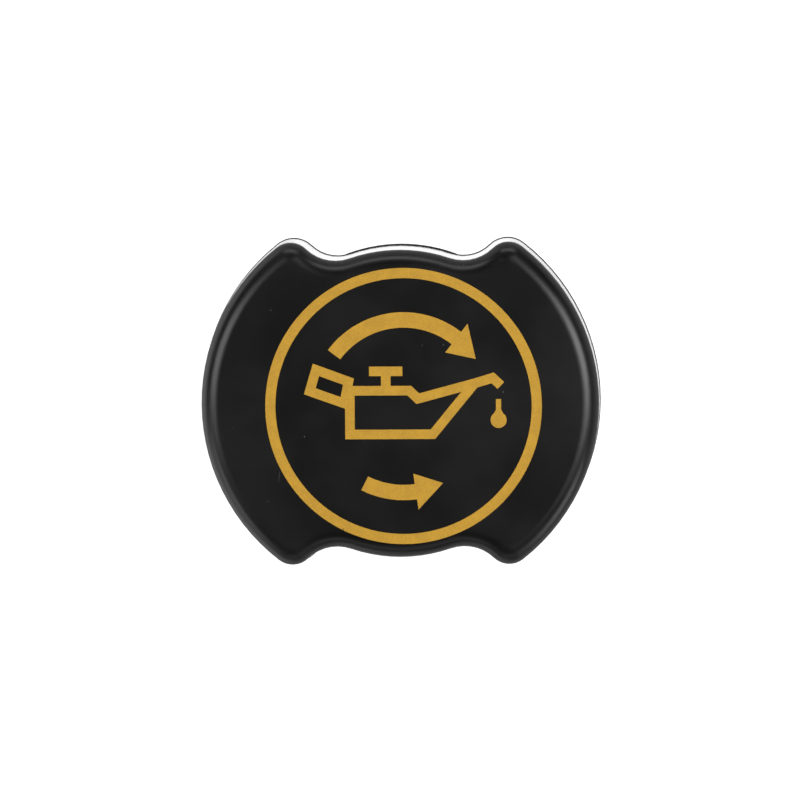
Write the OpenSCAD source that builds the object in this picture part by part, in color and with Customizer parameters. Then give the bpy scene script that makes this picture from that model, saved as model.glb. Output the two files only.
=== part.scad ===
// Oil filler cap for an engine: a winged grip cover snapped onto a round bayonet body with a face seal.
// Origin at the middle of the stem's lower end, +Z up through the printed face, +X along the finger wings.

/* [Grip cover] */
// Radius over the two finger wings
wing_r = 33; // [30:0.5:36]
// Radius of the round bulge at the front and back
bulge_r = 25.7; // [25.5:0.1:26.6]
// Corner radius of each wing tip
tip_r = 4.3; // [3.8:0.1:5]
// Direction of a wing tip's centre, measured from the long axis
tip_angle = 52; // [48:1:55]
// Radius of the hollow between a wing tip and the bulge
notch_r = 6.2; // [5.6:0.1:8]
// Height of the cover from its rim to the printed face
cover_h = 14; // [12:0.5:18]
// Rounding of the edge round the printed face
edge_r = 3; // [2:0.1:3.1]
// Thickness of the side wall
wall_t = 2.2; // [1.8:0.1:2.4]
// Thickness of the top plate
plate_t = 2.4; // [2:0.1:3.2]
// How far the wall leans in between its rim and the rounding
draft_in = 0.5; // [0.1:0.05:0.6]
// How far the bead along the rim stands out from the wall
rim_lip = 0.12; // [0.06:0.02:0.3]
// Height of the bead along the rim
rim_h = 0.8; // [0.5:0.1:1.5]
// Thickness of the stiffening ribs in the wings
rib_t = 1.3; // [1:0.1:2]
// Angle between neighbouring ribs
rib_pitch = 14; // [12:1:15]
// Width of the two keys that turn the body
key_w = 2.6; // [2:0.1:4]

/* [Bayonet body] */
// Length of the stem below the flange
stem_h = 17; // [15:0.5:24]
// Outer radius of the stem tube
stem_r = 15.2; // [14.6:0.1:15.6]
// Wall of the stem tube
stem_wall = 2.2; // [1.8:0.1:3]
// Radius of the pilot that centres the cap in the filler neck
pilot_r = 17; // [16.8:0.1:17.6]
// Length of the pilot
pilot_h = 3.5; // [2.5:0.25:4.5]
// Thickness of the flange
flange_t = 2.6; // [2:0.1:3.5]
// How far the flange stands out past the bulge
flange_lip = 0.12; // [0.06:0.02:0.8]
// Height of the spigot ring that plugs into the cover
spigot_h = 8; // [7:0.5:9]
// Wall of the spigot ring
spigot_wall = 1.8; // [1.4:0.1:2.4]
// Angle that each bayonet lug covers
lug_angle = 64; // [50:1:72]
// Depth of the lug's locking land
lug_h = 3.6; // [3:0.1:4]
// Distance from the stem's end to the lugs
lug_z = 1.2; // [0.6:0.1:1.8]
// Climb of the lug's lead-in ramp
ramp_rise = 1.7; // [1:0.1:2]

/* [Seal] */
// Thickness of the rubber ring
seal_t = 2.4; // [2:0.1:3]
// Width of the rubber ring from its bore to its outer edge
seal_w = 5; // [4:0.1:6]
// Depth of the groove that the ring sits in
groove_depth = 0.6; // [0.4:0.1:0.8]
// Free height of the groove below the ring
groove_spare = 2.4; // [2.1:0.1:3]

/* [Print] */
// Thickness of the printed film
film_t = 0.15; // [0.1:0.05:0.3]
// How far the film stands above the face
film_proud = 0.05; // [0.02:0.01:0.08]
// Sideways offset of the print from the cap's axis
print_x = 0.6; // [-1:0.1:1]
// Lengthwise offset of the print from the cap's axis
print_y = -0.25; // [-0.4:0.05:0.4]
// Outer radius of the printed ring
ring_r = 22.4; // [21:0.1:22.6]
// Width of the printed ring
ring_w = 1.65; // [1:0.05:2.5]
// Line width of the oil-can symbol
line_w = 1.55; // [1:0.05:1.8]
// Radius of the middle line of the two turning arrows
arrow_r = 14; // [13.4:0.1:16]
// Line width of the turning arrows
arrow_w = 2.5; // [1.2:0.1:3.4]
// Width over the head of a turning arrow
arrow_head_w = 5.9; // [4.4:0.1:7]

/* [Fits] */
// Gap all round between the spigot and the cover
fit_gap = 0.15; // [0.1:0.01:0.3]
// Gap round the rubber ring's bore
seal_gap = 0.1; // [0.05:0.01:0.2]
// Gap beside the keys and ribs
key_gap = 0.15; // [0.1:0.01:0.3]

/* [Hidden] */
$fn = 128;
over = 1; // how far a cutting shape reaches past what it cuts
chord_error = 0.02; // how far the faces of the cover's outline may stray from their arcs
black = [0.11, 0.11, 0.115];
rubber_black = [0.06, 0.06, 0.06];
gold = [0.78, 0.6, 0.24];

// Heights
rim_z = stem_h + flange_t;
face_z = rim_z + cover_h;
plate_z = face_z - plate_t;
film_z = face_z + film_proud - film_t;

// Outline of the cover: arcs that run into each other round four triangles axis, tip centre, notch centre
tip_centre_r = wing_r - tip_r;
tip_to_notch = tip_r + notch_r;
notch_centre_r = bulge_r + notch_r;
tip_turn = acos((pow(notch_centre_r, 2) - pow(tip_centre_r, 2) - pow(tip_to_notch, 2))
  / (2 * tip_centre_r * tip_to_notch));
notch_turn = acos((pow(tip_to_notch, 2) + pow(notch_centre_r, 2) - pow(tip_centre_r, 2))
  / (2 * tip_to_notch * notch_centre_r));
bulge_angle = tip_angle + tip_turn - notch_turn;

function polar(r, a) = [r * cos(a), r * sin(a)];
function arc_steps(r, turn) = max(2, ceil(abs(turn) / (2 * acos(1 - chord_error / r))));

// Points of an arc from one direction to another, without its last point
function arc(centre, r, from, to, steps) =
  [for (i = [0 : steps - 1]) centre + polar(r, from + (to - from) * i / steps)];

// A quarter of the outline, from the long axis almost to the short one, set in by the given distance
function quarter(inset) = concat(
  arc([0, 0], wing_r - inset, 0, tip_angle, arc_steps(wing_r, tip_angle)),
  arc(polar(tip_centre_r, tip_angle), tip_r - inset, tip_angle, tip_angle + tip_turn,
    arc_steps(tip_r, tip_turn)),
  arc(polar(notch_centre_r, bulge_angle), notch_r + inset, 180 + tip_angle + tip_turn,
    180 + bulge_angle, arc_steps(notch_r, notch_turn)),
  arc([0, 0], bulge_r - inset, bulge_angle, 90, arc_steps(bulge_r, 90 - bulge_angle)));

function half(inset) = let (q = quarter(inset)) concat(
  q, [[0, bulge_r - inset]], [for (i = [len(q) - 1 : -1 : 0]) [-q[i].x, q[i].y]]);

function outline(inset) = let (h = half(inset)) concat(
  h, [for (i = [len(h) - 2 : -1 : 1]) [h[i].x, -h[i].y]]);

// Section of the cover's skin as [inset, height] steps: face edge, rounding, wall, rim, wall inside, corner
rounding_steps = 7;
corner_steps = 3;
wall_in = rim_lip + wall_t;
least_corner_r = 0.4;
corner_r = max(edge_r - wall_t, least_corner_r);
skin = concat(
  [for (i = [0 : rounding_steps]) let (a = 90 * i / rounding_steps)
    [rim_lip + draft_in + edge_r * (1 - sin(a)), cover_h - edge_r * (1 - cos(a))]],
  [[rim_lip, rim_h + rim_lip], [0, rim_h], [0, 0], [wall_in, 0]],
  [for (i = [0 : corner_steps]) let (a = 90 * i / corner_steps)
    [wall_in + draft_in + corner_r * (1 - cos(a)), cover_h - plate_t - corner_r * (1 - sin(a))]]);

// The whole skin as one closed strip of rings, with a fan over its first and its last ring
module swept_skin() {
  rings = [for (s = skin) [for (p = outline(s[0])) [p.x, p.y, s[1]]]];
  n = len(rings[0]);
  last = len(rings) - 1;
  points = concat([for (r = rings) each r], [[0, 0, skin[0][1]], [0, 0, skin[last][1]]]);
  faces = concat(
    [for (k = [0 : last - 1], i = [0 : n - 1], t = [0, 1]) let (j = (i + 1) % n)
      t == 0 ? [k * n + i, k * n + j, (k + 1) * n + j] : [k * n + i, (k + 1) * n + j, (k + 1) * n + i]],
    [for (i = [0 : n - 1]) [(last + 1) * n, (i + 1) % n, i]],
    [for (i = [0 : n - 1]) [(last + 1) * n + 1, last * n + i, last * n + (i + 1) % n]]);
  polyhedron(points, faces);
}

// Spigot and snap fit between body and cover
spigot_r = bulge_r - wall_in - draft_in - fit_gap;
spigot_bore_r = spigot_r - spigot_wall;
snap_z = rim_z + spigot_h / 2;
snap_h = 1.6;
snap_out = 0.7; // how far the snap bead reaches into the wall's groove
snap_half_angle = 13;

// One sector of a ring with a rectangular section
module ring_sector(r_in, r_out, h, from, to) {
  rotate_extrude(angle = to - from, start = from)
    translate([r_in, 0]) square([r_out - r_in, h]);
}

// Bead that locks the spigot to the bulges; the groove in the cover is the same bead grown by the gap
module snap_bead(grow) {
  for (side = [90, 270])
    translate([0, 0, snap_z - snap_h / 2 - grow])
      ring_sector(spigot_r - over, spigot_r + fit_gap + snap_out + grow, snap_h + 2 * grow,
        side - snap_half_angle - grow, side + snap_half_angle + grow);
}

// Ribs that stiffen the wings between the wall and the spigot
ribs_per_side = 3;
rib_lift = rim_h; // ribs end above the rim, out of sight from the side
rib_in_r = spigot_r + fit_gap + key_gap;
rib_out_r = wing_r - wall_in - draft_in + wall_t / 2;
module wing_ribs() {
  for (wing = [0, 180], k = [-ribs_per_side : ribs_per_side])
    if (k != 0)
      rotate(wing + k * rib_pitch)
        translate([rib_in_r, -rib_t / 2, rim_z + rib_lift])
          cube([rib_out_r - rib_in_r, rib_t, plate_z - rim_z - rib_lift + plate_t / 2]);
}

// Keys that pass through the spigot's slots and carry the turning force
key_reach = 1.2; // how far a key reaches in past the spigot
key_in_r = spigot_bore_r - key_reach;
module drive_keys(grow) {
  for (wing = [0, 180])
    rotate(wing)
      translate([key_in_r - grow, -key_w / 2 - grow, rim_z + key_gap - grow])
        cube([rib_out_r - key_in_r + grow, key_w + 2 * grow,
          plate_z - rim_z - key_gap + grow + plate_t / 2]);
}

// A film of the print laid in its own shallow bed in the face
module film() {
  translate([print_x, print_y, film_z]) linear_extrude(film_t) children();
}

module grip_cover() color(black) {
  difference() {
    union() {
      translate([0, 0, rim_z]) swept_skin();
      wing_ribs();
      drive_keys(0);
    }
    snap_bead(fit_gap);
    film() ring_shape();
    film() can_shape();
    film() drop_shape();
    film() close_arrow_shape();
    film() open_arrow_shape();
  }
}

// Stem, pilot and groove
stem_bore_r = stem_r - stem_wall;
groove_r = pilot_r - groove_depth;
groove_z = stem_h - seal_t - groove_spare;
pilot_z = groove_z - pilot_h;
flange_r = bulge_r + flange_lip;
end_chamfer = 0.8;
flange_edge = 0.5;
lead_in = 1;
floor_t = flange_t;
cross_t = 1.6;
cross_h = 4.5;

// Turned shape of the body: stem, pilot, groove, flange and spigot round an open stem
module body_blank() {
  rotate_extrude() polygon([
    [stem_bore_r, 0], [stem_r - end_chamfer, 0], [stem_r, end_chamfer],
    [stem_r, pilot_z - (pilot_r - stem_r)], [pilot_r, pilot_z], [pilot_r, groove_z],
    [groove_r, groove_z], [groove_r, stem_h], [flange_r - flange_edge, stem_h],
    [flange_r, stem_h + flange_edge], [flange_r, rim_z], [spigot_r, rim_z],
    [spigot_r, rim_z + spigot_h - lead_in], [spigot_r - lead_in / 2, rim_z + spigot_h],
    [spigot_bore_r, rim_z + spigot_h], [spigot_bore_r, rim_z], [0, rim_z], [0, rim_z - floor_t],
    [stem_bore_r, rim_z - floor_t]]);
}

// Lug with a lead-in ramp, a flat locking land and a stop that reaches up to the pilot
lug_play = 0.2; // how far the lugs stay back from the pilot's radius
lug_r = pilot_r - lug_play;
lug_root_r = stem_r - stem_wall / 2;
ramp_angle = 26;
stop_angle = 7;
module bayonet_lug() {
  difference() {
    translate([0, 0, lug_z]) ring_sector(lug_root_r, lug_r, lug_h, 0, lug_angle);
    translate([stem_r + (lug_r - stem_r) / 2, 0, lug_z + lug_h - ramp_rise])
      rotate([atan(ramp_rise / (stem_r * ramp_angle * PI / 180)), 0, 0])
        translate([-stem_wall, -2 * over, 0])
          cube([2 * stem_wall, stem_r, lug_h]);
  }
  translate([0, 0, lug_z])
    ring_sector(lug_root_r, lug_r, pilot_z - lug_z + over, lug_angle - stop_angle, lug_angle);
}

// Drain slots in the stem's end, between the lugs
drain_w = 5;
drain_h = 4.5;
module drain_slots() {
  for (side = [0, 180])
    rotate(side + lug_angle / 2 + 90)
      translate([stem_bore_r - over, -drain_w / 2, -over])
        cube([stem_wall + 2 * over, drain_w, drain_h + over]);
}

module bayonet_body() color(black) {
  difference() {
    union() {
      body_blank();
      for (side = [0, 180]) rotate(side) bayonet_lug();
      snap_bead(0);
      for (turn = [45, 135])
        rotate(turn)
          translate([-stem_bore_r - stem_wall / 2, -cross_t / 2, rim_z - floor_t - cross_h])
            cube([2 * stem_bore_r + stem_wall, cross_t, cross_h + floor_t / 2]);
    }
    drain_slots();
    drive_keys(key_gap);
  }
}

// Flat rubber ring with a thin lip at its outer edge
module sealing_ring() color(rubber_black) {
  bore_r = groove_r + seal_gap;
  seal_r = bore_r + seal_w;
  lip = 0.5;
  rotate_extrude() translate([0, stem_h - seal_t]) polygon([
    [bore_r, 0], [seal_r - 2 * lip, 0], [seal_r, lip], [seal_r, seal_t - lip],
    [seal_r - lip, seal_t], [bore_r, seal_t]]);
}

// Corner of a line's edge at p, between its neighbours a and c, moved sideways by d with a sharp mitre
function unit(v) = v / norm(v);
function left_of(v) = [-v.y, v.x];
function mitre(a, p, c, d) = let (m = left_of(unit(p - a)), n = left_of(unit(c - p)))
  p + (m + n) * d / (1 + m * n);
function moved(path, d) = let (n = len(path))
  [for (i = [0 : n - 1]) mitre(path[(i + n - 1) % n], path[i], path[(i + 1) % n], d)];

// Closed line of the symbol's width
module loop_line(path) {
  difference() {
    polygon(moved(path, -line_w / 2));
    polygon(moved(path, line_w / 2));
  }
}

// Open line of the symbol's width with square ends
function side_of(path, d) = let (last = len(path) - 1) concat(
  [path[0] + left_of(unit(path[1] - path[0])) * d],
  [for (i = [1 : 1 : last - 1]) mitre(path[i - 1], path[i], path[i + 1], d)],
  [path[last] + left_of(unit(path[last] - path[last - 1])) * d]);
module open_line(path) {
  there = side_of(path, -line_w / 2);
  back = side_of(path, line_w / 2);
  polygon(concat(there, [for (i = [len(back) - 1 : -1 : 0]) back[i]]));
}

// Oil-can symbol, drawn along the middle of its lines from the middle of the printed ring
can_left = -8.68;
can_base = -4.54;
can_top = 2.55;
can_toe = [4.75, can_base];
spout_root = [11.52, 3.68];
spout_bend = [14.46, 4.56];
spout_end = [15.78, 3.32];
can_throat = [2.33, 1.23];
can_shoulder = [0.96, can_top];
handle_foot = [-9.57, 0.52];
handle_neck = [-8.88, 4.05];
handle_top = [-14.13, 5.98];
handle_end = [-15.16, 2.51];
knob_x = -2.84;
knob_w = 5.4;
knob_rise = 3.14;
module can_shape() {
  loop_line([[can_left, can_base], can_toe, spout_root, can_throat, can_shoulder, [can_left, can_top]]);
  loop_line([handle_foot, handle_neck, handle_top, handle_end]);
  open_line([spout_root, spout_bend, spout_end]);
  translate([knob_x - knob_w / 2, can_top + knob_rise - line_w / 2]) square([knob_w, line_w]);
  translate([knob_x - line_w / 2, can_top]) square([line_w, knob_rise]);
}

// Drop under the spout: a round belly, sloping shoulders and a slender neck
drop_x = 15.39;
drop_y = -2.27;
drop_r = 1.3;
drop_shoulder_x = 1.13;
drop_shoulder_y = 0.41;
drop_neck_w = 0.84;
drop_neck_y = 1.67;
drop_top_y = 3.39;
module drop_shape() {
  translate([drop_x, drop_y]) {
    circle(drop_r);
    polygon([[drop_shoulder_x, drop_shoulder_y], [drop_neck_w / 2, drop_neck_y],
      [drop_neck_w / 2, drop_top_y], [-drop_neck_w / 2, drop_top_y], [-drop_neck_w / 2, drop_neck_y],
      [-drop_shoulder_x, drop_shoulder_y]]);
  }
}

module ring_shape() {
  difference() {
    circle(ring_r);
    circle(ring_r - ring_w);
  }
}

// Turning arrow round the print's middle: it starts at an angle and turns left, or right if mirrored
close_from = 143;
close_turn = 110;
open_from = 243;
open_turn = 54;
head_turn = 19;
module arrow_shape(from, turn) {
  neck = from + turn - head_turn;
  reach = 2 * arrow_r;
  intersection() {
    difference() {
      circle(arrow_r + arrow_w / 2);
      circle(arrow_r - arrow_w / 2);
    }
    polygon(concat([[0, 0]], [for (i = [0 : 4]) polar(reach, from + (neck + 1 - from) * i / 4)]));
  }
  rotate(neck)
    translate([arrow_r, 0])
      polygon([[-arrow_head_w / 2, 0], [arrow_head_w / 2, 0],
        [-arrow_r * (1 - cos(head_turn)), arrow_r * sin(head_turn)]]);
}

module close_arrow_shape() {
  mirror([1, 0]) arrow_shape(180 - close_from, close_turn);
}

module open_arrow_shape() {
  arrow_shape(open_from, open_turn);
}

module ring_print() color(gold) film() ring_shape();
module oil_can_print() color(gold) film() can_shape();
module oil_drop_print() color(gold) film() drop_shape();
module close_arrow_print() color(gold) film() close_arrow_shape();
module open_arrow_print() color(gold) film() open_arrow_shape();

grip_cover();
bayonet_body();
sealing_ring();
ring_print();
oil_can_print();
oil_drop_print();
close_arrow_print();
open_arrow_print();
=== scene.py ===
import math

import bpy
from mathutils import Matrix, Vector


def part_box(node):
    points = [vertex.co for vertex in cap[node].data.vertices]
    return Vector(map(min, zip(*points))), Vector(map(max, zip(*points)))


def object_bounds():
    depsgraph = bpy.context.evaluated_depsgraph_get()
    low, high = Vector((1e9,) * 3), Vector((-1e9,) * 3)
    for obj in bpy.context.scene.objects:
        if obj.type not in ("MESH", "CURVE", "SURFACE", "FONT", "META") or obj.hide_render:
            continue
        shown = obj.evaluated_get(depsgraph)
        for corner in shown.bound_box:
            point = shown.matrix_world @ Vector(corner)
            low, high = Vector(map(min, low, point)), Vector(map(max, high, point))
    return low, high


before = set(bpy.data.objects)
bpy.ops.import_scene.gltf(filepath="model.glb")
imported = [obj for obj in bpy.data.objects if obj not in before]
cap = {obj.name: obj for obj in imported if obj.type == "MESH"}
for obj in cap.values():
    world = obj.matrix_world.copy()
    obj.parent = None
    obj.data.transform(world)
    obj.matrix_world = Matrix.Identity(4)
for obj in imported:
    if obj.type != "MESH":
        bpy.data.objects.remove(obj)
cadLow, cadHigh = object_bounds()
coverFoot, coverTop = (corner.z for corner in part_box("grip_cover"))
faceMiddle = Vector((0, 0, coverTop))
mm = 0.001
print("cap loaded:", len(cap), "pieces,", round((cadHigh.z - cadLow.z) / mm, 2), "mm high")


def directionOf(around, up):
    a = math.radians(around)
    e = math.radians(up)
    return Vector((math.cos(a) * math.cos(e), math.sin(a) * math.cos(e), math.sin(e)))


# Small helpers for node trees: a socket in the inputs is linked, anything else is set
def addNode(tree, kind, inputs=None, **settings):
    node = tree.nodes.new(kind)
    for key, value in settings.items():
        setattr(node, key, value)
    for key, value in (inputs or {}).items():
        if isinstance(value, bpy.types.NodeSocket):
            tree.links.new(value, node.inputs[key])
        else:
            node.inputs[key].default_value = value
    return node


def placeOf(tree, turn=0.0, stretch=(1, 1, 1)):
    # place on the cap in metres, turned about its axis and stretched
    here = addNode(tree, "ShaderNodeTexCoord").outputs["Object"]
    if turn == 0.0 and stretch == (1, 1, 1):
        return here
    settings = {"Vector": here, "Rotation": (0, 0, math.radians(turn)), "Scale": stretch}
    return addNode(tree, "ShaderNodeMapping", settings).outputs["Vector"]


def noiseOf(tree, place, size, detail=3.0, roughness=0.5):
    settings = {"Vector": place, "Scale": 1 / size, "Detail": detail, "Roughness": roughness}
    return addNode(tree, "ShaderNodeTexNoise", settings).outputs["Fac"]


def ramp(tree, value, low, high, start=0.0, end=1.0):
    settings = {"Value": value, "From Min": low, "From Max": high, "To Min": start, "To Max": end}
    return addNode(tree, "ShaderNodeMapRange", settings, interpolation_type="SMOOTHSTEP").outputs["Result"]


noiseSpan = (0.3, 0.7)  # nearly all of a noise's values lie in here


def roughnessOf(tree, cloud, look):
    return ramp(tree, cloud, *noiseSpan, *look["roughness"])


def calc(tree, how, first, second=0.0):
    return addNode(tree, "ShaderNodeMath", {0: first, 1: second}, operation=how).outputs["Value"]


def blendColor(tree, share, first, second):
    node = addNode(tree, "ShaderNodeMix", data_type="RGBA")
    for socket, value in ((0, share), (6, first), (7, second)):
        if isinstance(value, bpy.types.NodeSocket):
            tree.links.new(value, node.inputs[socket])
        elif socket:
            node.inputs[socket].default_value = (*value, 1)
        else:
            node.inputs[socket].default_value = value
    return node.outputs[2]


def relief(tree, height, depth, under=None):
    settings = {"Height": height, "Distance": depth, "Strength": 1.0}
    if under:
        settings["Normal"] = under
    return addNode(tree, "ShaderNodeBump", settings).outputs["Normal"]


def specksOf(tree, place, spacing, size, share):
    # small dots, in a share of the cells that they could lie in
    cells = addNode(tree, "ShaderNodeTexVoronoi", {"Vector": place, "Scale": 1 / spacing})
    pick = addNode(tree, "ShaderNodeSeparateColor", {"Color": cells.outputs["Color"]}).outputs["Red"]
    dot = ramp(tree, cells.outputs["Distance"], size / spacing, 0.5 * size / spacing)
    return calc(tree, "MULTIPLY", dot, calc(tree, "LESS_THAN", pick, share))


def nicksOf(tree, place, spacing, length, width, share):
    # short fine scratches, each turned its own way, in a share of the cells that they could lie in
    cells = addNode(tree, "ShaderNodeTexVoronoi", {"Vector": place, "Scale": 1 / spacing})
    away = addNode(tree, "ShaderNodeVectorMath", {0: place, 1: cells.outputs["Position"]},
                   operation="SUBTRACT").outputs[0]
    chance = addNode(tree, "ShaderNodeSeparateColor", {"Color": cells.outputs["Color"]}).outputs
    turn = calc(tree, "MULTIPLY", chance["Green"], math.tau)
    turned = addNode(tree, "ShaderNodeVectorRotate", {"Vector": away, "Angle": turn},
                     rotation_type="Z_AXIS").outputs[0]
    part = addNode(tree, "ShaderNodeSeparateXYZ", {0: turned}).outputs
    along = ramp(tree, calc(tree, "ABSOLUTE", part["X"]), length / 2, length / 4)
    across = ramp(tree, calc(tree, "ABSOLUTE", part["Y"]), width, width / 2)
    upright = ramp(tree, calc(tree, "ABSOLUTE", part["Z"]), width, width / 2)
    stroke = calc(tree, "MULTIPLY", calc(tree, "MULTIPLY", along, across), upright)
    return calc(tree, "MULTIPLY", stroke, calc(tree, "LESS_THAN", chance["Red"], share))


def startMaterial(name, look):
    material = bpy.data.materials.new(name)
    material.use_nodes = True
    shader = material.node_tree.nodes["Principled BSDF"]
    shader.inputs["IOR"].default_value = look["ior"]
    return material, material.node_tree, shader


def plug(tree, shader, **sources):
    for name, source in sources.items():
        tree.links.new(source, shader.inputs[name])


# Finger cover: satin-gloss black moulding with faint handling marks
coverLook = {
    "color": (0.0022, 0.0022, 0.0021),
    "cloudColor": (0.0040, 0.0040, 0.0038),
    "dustColor": (0.12, 0.117, 0.112),
    "nickColor": (0.050, 0.050, 0.049),
    "ior": 1.5,
    "roughness": (0.29, 0.36),
    "wallRoughness": 0.15,
    "wallCoat": 0.9,
    "coatRoughness": 0.14,
    "beadSide": 0.70 * mm,
    "beadEdge": 0.78 * mm,
    "beadTop": 0.95 * mm,
    "wallFoot": 1.14 * mm,
    "wallTop": 3.3 * mm,
    "satinFrom": 2.2 * mm,
    "cloudSize": 14 * mm,
    "cloudSpan": (0.35, 0.7),
    "peelSize": 2.2 * mm,
    "peelDepth": 0.004 * mm,
    "grainSize": 0.22 * mm,
    "grainDepth": 0.0022 * mm,
    "dustSpacing": 3.1 * mm,
    "dustSize": 0.13 * mm,
    "dustShare": 0.45,
    "dustRoughness": 0.4,
    "nickSpacing": 5.2 * mm,
    "nickLength": 2.2 * mm,
    "nickWidth": 0.07 * mm,
    "nickShare": 0.3,
}


def coverPlastic(look):
    material, tree, shader = startMaterial("coverPlastic", look)
    here = placeOf(tree)
    cloud = noiseOf(tree, here, look["cloudSize"], detail=4)
    grain = noiseOf(tree, here, look["grainSize"], detail=2)
    dust = specksOf(tree, here, look["dustSpacing"], look["dustSize"], look["dustShare"])
    nicks = nicksOf(tree, here, look["nickSpacing"], look["nickLength"], look["nickWidth"], look["nickShare"])
    base = blendColor(tree, ramp(tree, cloud, *look["cloudSpan"]), look["color"], look["cloudColor"])
    base = blendColor(tree, nicks, base, look["nickColor"])
    base = blendColor(tree, dust, base, look["dustColor"])
    # the side wall and the bead's side are polished; the bead's top, the rounding and the face are satin
    height = addNode(tree, "ShaderNodeSeparateXYZ", {0: here}).outputs["Z"]
    overBead = ramp(tree, height, coverFoot + look["beadTop"], coverFoot + look["wallFoot"])
    underBead = ramp(tree, height, coverFoot + look["beadEdge"], coverFoot + look["beadSide"])
    underRounding = ramp(tree, height, coverTop - look["satinFrom"], coverTop - look["wallTop"])
    polish = calc(tree, "MULTIPLY", calc(tree, "MAXIMUM", overBead, underBead), underRounding)
    satin = calc(tree, "SUBTRACT", 1.0, polish)
    rough = calc(tree, "MULTIPLY", roughnessOf(tree, cloud, look), satin)
    rough = calc(tree, "MAXIMUM", rough, look["wallRoughness"])
    rough = calc(tree, "ADD", rough, calc(tree, "MULTIPLY", dust, look["dustRoughness"]))
    coat = calc(tree, "MULTIPLY", polish, look["wallCoat"])
    peel = relief(tree, noiseOf(tree, here, look["peelSize"], detail=1), look["peelDepth"])
    bumps = relief(tree, grain, look["grainDepth"], peel)
    plug(tree, shader, **{"Base Color": base, "Roughness": rough, "Normal": bumps, "Coat Weight": coat})
    shader.inputs["Coat Roughness"].default_value = look["coatRoughness"]
    return material


# Body: glass-filled moulding, duller and grainier than the cover
bodyLook = {
    "color": (0.015, 0.015, 0.0155),
    "fibreColor": (0.042, 0.042, 0.041),
    "ior": 1.53,
    "roughness": (0.42, 0.62),
    "cloudSize": 6 * mm,
    "fibreSize": 0.5 * mm,
    "fibreTurn": 30,
    "fibreStretch": (1, 1, 0.6),
    "fibreSpan": (0.5, 0.78),
    "fibreShare": 0.8,
    "grainSize": 0.16 * mm,
    "grainDepth": 0.010 * mm,
    "flowDepth": 0.012 * mm,
}


def bodyPlastic(look):
    material, tree, shader = startMaterial("bodyPlastic", look)
    here = placeOf(tree)
    slanted = placeOf(tree, look["fibreTurn"], look["fibreStretch"])
    cloud = noiseOf(tree, here, look["cloudSize"], detail=5, roughness=0.6)
    fibre = noiseOf(tree, slanted, look["fibreSize"], detail=6, roughness=0.7)
    share = ramp(tree, fibre, *look["fibreSpan"], end=look["fibreShare"])
    base = blendColor(tree, share, look["color"], look["fibreColor"])
    rough = roughnessOf(tree, cloud, look)
    flow = relief(tree, cloud, look["flowDepth"])
    grain = noiseOf(tree, here, look["grainSize"], roughness=0.6)
    bumps = relief(tree, grain, look["grainDepth"], flow)
    plug(tree, shader, **{"Base Color": base, "Roughness": rough, "Normal": bumps})
    return material


# Seal: dull rubber with a dusting of its release powder
sealLook = {
    "color": (0.010, 0.010, 0.0105),
    "powderColor": (0.060, 0.058, 0.055),
    "ior": 1.48,
    "roughness": (0.70, 0.88),
    "cloudSize": 4 * mm,
    "powderSpan": (0.52, 0.8),
    "poreSpan": (0.35, 0.7),
    "poreSize": 0.20 * mm,
    "poreDepth": 0.016 * mm,
}


def sealRubber(look):
    material, tree, shader = startMaterial("sealRubber", look)
    here = placeOf(tree)
    cloud = noiseOf(tree, here, look["cloudSize"], detail=6, roughness=0.65)
    pores = noiseOf(tree, here, look["poreSize"], detail=4, roughness=0.6)
    patches = ramp(tree, cloud, *look["powderSpan"])
    powder = calc(tree, "MULTIPLY", patches, ramp(tree, pores, *look["poreSpan"]))
    base = blendColor(tree, powder, look["color"], look["powderColor"])
    rough = roughnessOf(tree, cloud, look)
    bumps = relief(tree, pores, look["poreDepth"])
    plug(tree, shader, **{"Base Color": base, "Roughness": rough, "Normal": bumps})
    return material


# Print: flat matte gold, a little mottled, with pinholes
printLook = {
    "color": (0.700, 0.387, 0.033),
    "cloudColor": (0.585, 0.316, 0.028),
    "pinholeColor": (0.06, 0.035, 0.01),
    "ior": 1.45,
    "roughness": (0.50, 0.62),
    "cloudSize": 2.4 * mm,
    "tintSize": 0.34 * mm,
    "mottleSpan": (0.36, 0.62),
    "pinholeSpacing": 1.9 * mm,
    "pinholeSize": 0.15 * mm,
    "pinholeShare": 0.18,
    "layDepth": 0.006 * mm,
}


def goldPrint(look):
    material, tree, shader = startMaterial("goldPrint", look)
    here = placeOf(tree)
    cloud = noiseOf(tree, here, look["cloudSize"], detail=4, roughness=0.6)
    tint = noiseOf(tree, here, look["tintSize"], roughness=0.6)
    mottle = calc(tree, "MULTIPLY", calc(tree, "ADD", cloud, tint), 0.5)
    base = blendColor(tree, ramp(tree, mottle, *look["mottleSpan"]), look["color"], look["cloudColor"])
    holes = specksOf(tree, here, look["pinholeSpacing"], look["pinholeSize"], look["pinholeShare"])
    base = blendColor(tree, holes, base, look["pinholeColor"])
    rough = roughnessOf(tree, cloud, look)
    bumps = relief(tree, tint, look["layDepth"])
    plug(tree, shader, **{"Base Color": base, "Roughness": rough, "Normal": bumps})
    return material


# Shading of the moulded pieces: seams of the mesh closed, faces smooth, corners crisp
shading = {
    "weldGap": 0.002 * mm,
    "cornerAngle": 28,
    "flatAngle": 0.4,
    "edgeRound": 0.18 * mm,
    "edgeSegments": 2,
    "faceWeight": 100,
    "roundedPieces": ("bayonet_body", "sealing_ring"),
}


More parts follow.
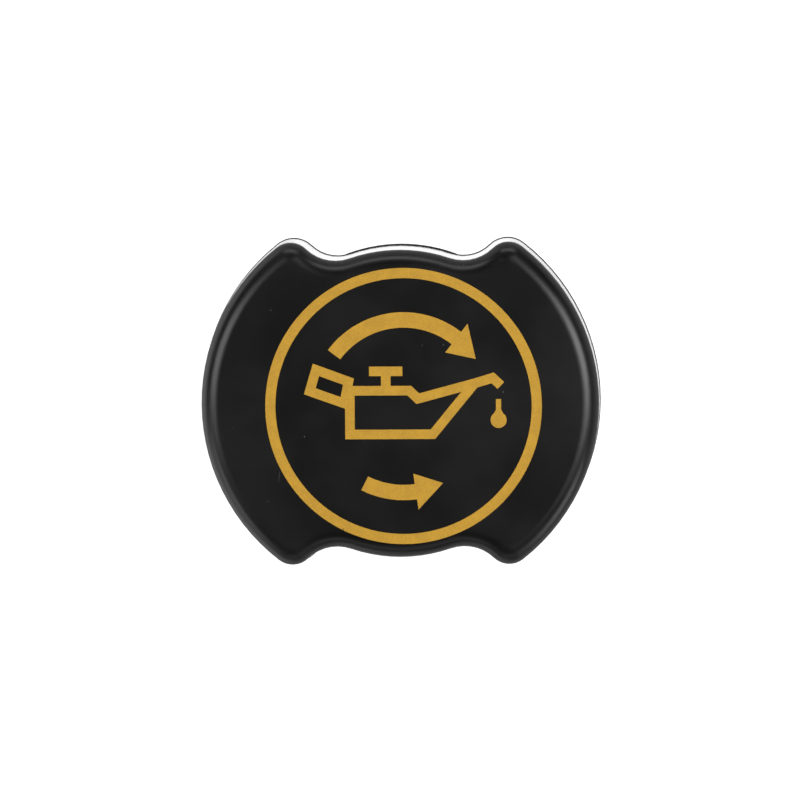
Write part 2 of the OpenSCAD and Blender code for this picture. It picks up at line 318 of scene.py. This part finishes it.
def smoothGroup(look):
    group = bpy.data.node_groups.new("smoothMoulding", "GeometryNodeTree")
    group.interface.new_socket(name="Geometry", in_out="INPUT", socket_type="NodeSocketGeometry")
    group.interface.new_socket(name="Geometry", in_out="OUTPUT", socket_type="NodeSocketGeometry")
    start = addNode(group, "NodeGroupInput").outputs[0]
    plain = addNode(group, "GeometryNodeRemoveAttribute", {"Geometry": start, "Name": "custom_normal"})
    welded = addNode(group, "GeometryNodeMergeByDistance",
                     {"Geometry": plain.outputs[0], "Distance": look["weldGap"]})
    smooth = addNode(group, "GeometryNodeSetShadeSmooth", {"Geometry": welded.outputs[0]}, domain="FACE")
    angle = addNode(group, "GeometryNodeInputMeshEdgeAngle").outputs["Unsigned Angle"]
    corner = addNode(group, "FunctionNodeCompare", {0: angle, 1: math.radians(look["cornerAngle"])},
                     data_type="FLOAT", operation="GREATER_THAN").outputs[0]
    crisp = addNode(group, "GeometryNodeSetShadeSmooth",
                    {"Geometry": smooth.outputs[0], "Selection": corner, "Shade Smooth": False},
                    domain="EDGE")
    group.links.new(crisp.outputs[0], addNode(group, "NodeGroupOutput").inputs[0])
    return group


def shadeMoulding(piece, group, look):
    piece.modifiers.new("smoothMoulding", "NODES").node_group = group
    if piece.name in look["roundedPieces"]:
        flat = piece.modifiers.new("flatFaces", "DECIMATE")
        flat.decimate_type = "DISSOLVE"
        flat.angle_limit = math.radians(look["flatAngle"])
        rounding = piece.modifiers.new("edgeRounding", "BEVEL")
        rounding.width = look["edgeRound"]
        rounding.segments = look["edgeSegments"]
        rounding.limit_method = "ANGLE"
        rounding.angle_limit = math.radians(look["cornerAngle"])
    even = piece.modifiers.new("evenNormals", "WEIGHTED_NORMAL")
    even.keep_sharp = True
    even.weight = look["faceWeight"]


def dress(piece, material):
    piece.data.materials.clear()
    piece.data.materials.append(material)


gold = goldPrint(printLook)
moulding = smoothGroup(shading)
dress(cap["grip_cover"], coverPlastic(coverLook))
dress(cap["bayonet_body"], bodyPlastic(bodyLook))
dress(cap["sealing_ring"], sealRubber(sealLook))
for name in ("grip_cover", "bayonet_body", "sealing_ring"):
    shadeMoulding(cap[name], moulding, shading)
for name in sorted(cap):
    if name.endswith("_print"):
        dress(cap[name], gold)
        cap[name].modifiers.new("smoothMoulding", "NODES").node_group = moulding
print("materials and shading done")


# Stage: a wide floor under the stem; its glow and its lit colour, which keeps the shadow, add up to white
stageLook = {
    "floorSize": 12.0,
    "floorColor": (0.55, 0.55, 0.55),
    "glow": 0.87,
    "brightFoot": (0.0378, 0.035),
    "brightSide": 190,
    "mirrorShare": (0.03, 0.85),
    "mirrorReach": (0.042, 0.088),
    "skyTop": 0.04,
    "skyEdge": 0.08,
    "skyEdgeHeight": 0.75,
}


def glowSeen(tree, look):
    # the camera sees all of the glow; mirror images show it at the cap's foot
    # and, farther off, on the bright side
    rays = addNode(tree, "ShaderNodeLightPath").outputs
    direct = calc(tree, "MAXIMUM", rays["Is Camera Ray"], rays["Is Transmission Ray"])
    here = placeOf(tree)
    side = addNode(tree, "ShaderNodeVectorMath", {0: here, 1: directionOf(look["brightSide"], 0)},
                   operation="DOT_PRODUCT").outputs["Value"]
    far = addNode(tree, "ShaderNodeVectorMath", {0: here}, operation="LENGTH").outputs["Value"]
    foot = ramp(tree, far, *look["brightFoot"])
    glow = ramp(tree, side, *look["mirrorReach"], *look["mirrorShare"])
    mirrored = calc(tree, "MULTIPLY", calc(tree, "MAXIMUM", foot, glow), rays["Is Glossy Ray"])
    return calc(tree, "MULTIPLY", calc(tree, "MAXIMUM", direct, mirrored), look["glow"])


def buildFloor(look):
    half = look["floorSize"] / 2
    mesh = bpy.data.meshes.new("floor")
    corners = [(x * half, y * half, cadLow.z) for x, y in ((-1, -1), (1, -1), (1, 1), (-1, 1))]
    mesh.from_pydata(corners, [], [(0, 1, 2, 3)])
    floor = bpy.data.objects.new("floor", mesh)
    bpy.context.scene.collection.objects.link(floor)
    material = bpy.data.materials.new("paleFloor")
    material.use_nodes = True
    tree = material.node_tree
    tree.nodes.clear()
    lit = addNode(tree, "ShaderNodeBsdfDiffuse", {"Color": (*look["floorColor"], 1)}).outputs[0]
    glow = addNode(tree, "ShaderNodeEmission", {"Strength": glowSeen(tree, look)}).outputs[0]
    shown = addNode(tree, "ShaderNodeAddShader", {0: lit, 1: glow}).outputs[0]
    clear = addNode(tree, "ShaderNodeBsdfTransparent").outputs[0]
    under = addNode(tree, "ShaderNodeNewGeometry").outputs["Backfacing"]
    whole = addNode(tree, "ShaderNodeMixShader", {0: under, 1: shown, 2: clear}).outputs[0]
    addNode(tree, "ShaderNodeOutputMaterial", {"Surface": whole})
    mesh.materials.append(material)


def buildSky(look):
    world = bpy.data.worlds.new("studio")
    world.use_nodes = True
    tree = world.node_tree
    tree.nodes.clear()
    direction = addNode(tree, "ShaderNodeTexCoord").outputs["Generated"]
    height = addNode(tree, "ShaderNodeSeparateXYZ", {0: direction}).outputs["Z"]
    level = ramp(tree, height, 0.0, look["skyEdgeHeight"], look["skyEdge"], look["skyTop"])
    rays = addNode(tree, "ShaderNodeLightPath").outputs
    direct = calc(tree, "MAXIMUM", rays["Is Camera Ray"], rays["Is Transmission Ray"])
    room = addNode(tree, "ShaderNodeBackground", {"Strength": level}).outputs[0]
    white = addNode(tree, "ShaderNodeBackground", {"Strength": 1.0}).outputs[0]
    for background in (room.node, white.node):
        background.inputs["Color"].default_value = (1, 1, 1, 1)
    whole = addNode(tree, "ShaderNodeMixShader", {0: direct, 1: room, 2: white}).outputs[0]
    addNode(tree, "ShaderNodeOutputWorld", {"Surface": whole})
    bpy.context.scene.world = world


buildFloor(stageLook)
buildSky(stageLook)
print("floor and studio sky done")


# Softboxes stand beside the cap, so that they light the rounded edges and leave the face dark
softboxes = {
    "leftSoftbox": {"around": 170, "up": 49, "away": 0.95, "size": (0.36, 0.56), "power": 2.8},
    "rightSoftbox": {"around": 10, "up": 48, "away": 0.95, "size": (0.32, 0.52), "power": 4.3},
    "topPanel": {"around": 12, "up": 63, "away": 1.0, "size": (0.90, 0.60), "power": 1.2},
    "backPanel": {"around": 90, "up": 20, "away": 1.1, "size": (1.10, 0.36), "power": 2.7},
    "leftGlow": {"around": 209, "up": 19, "away": 1.1, "size": (0.64, 0.46), "power": 1.9},
    "rightGlow": {"around": 324, "up": 17, "away": 1.1, "size": (0.52, 0.50), "power": 1.9},
    "frontFill": {"around": 270, "up": 26, "away": 1.2, "size": (1.10, 0.40), "power": 0.9},
}


def buildSoftbox(name, look):
    light = bpy.data.lights.new(name, "AREA")
    light.shape = "RECTANGLE"
    light.size, light.size_y = look["size"]
    light.energy = look["power"]
    box = bpy.data.objects.new(name, light)
    bpy.context.scene.collection.objects.link(box)
    away = directionOf(look["around"], look["up"])
    box.location = faceMiddle + away * look["away"]
    box.rotation_euler = away.to_track_quat("Z", "Y").to_euler()
    box.visible_camera = False


for name, look in softboxes.items():
    buildSoftbox(name, look)
print("softboxes done:", len(softboxes))


# Camera almost straight above, leaning a little towards the top of the print
cameraLook = {
    "tilt": 3.8,
    "around": 70,
    "roll": 0.33,
    "away": 0.55,
    "frameWidth": 129.5 * mm,
    "aimShift": (0.05 * mm, 0.78 * mm),
    "clip": (0.01, 50),
}


def buildCamera(look):
    camera = bpy.data.cameras.new("camera")
    camera.lens = camera.sensor_width * look["away"] / look["frameWidth"]
    camera.clip_start, camera.clip_end = look["clip"]
    holder = bpy.data.objects.new("camera", camera)
    bpy.context.scene.collection.objects.link(holder)
    back = directionOf(look["around"], 90 - look["tilt"])
    right = directionOf(90 - look["roll"], 0).cross(back).normalized()
    top = back.cross(right)
    aim = faceMiddle + Vector((*look["aimShift"], 0))
    turn = Matrix((right, top, back)).transposed().to_4x4()
    holder.matrix_world = Matrix.Translation(aim + back * look["away"]) @ turn
    bpy.context.scene.camera = holder


buildCamera(cameraLook)
bpy.context.scene.view_settings.view_transform = "Standard"
print("camera done")
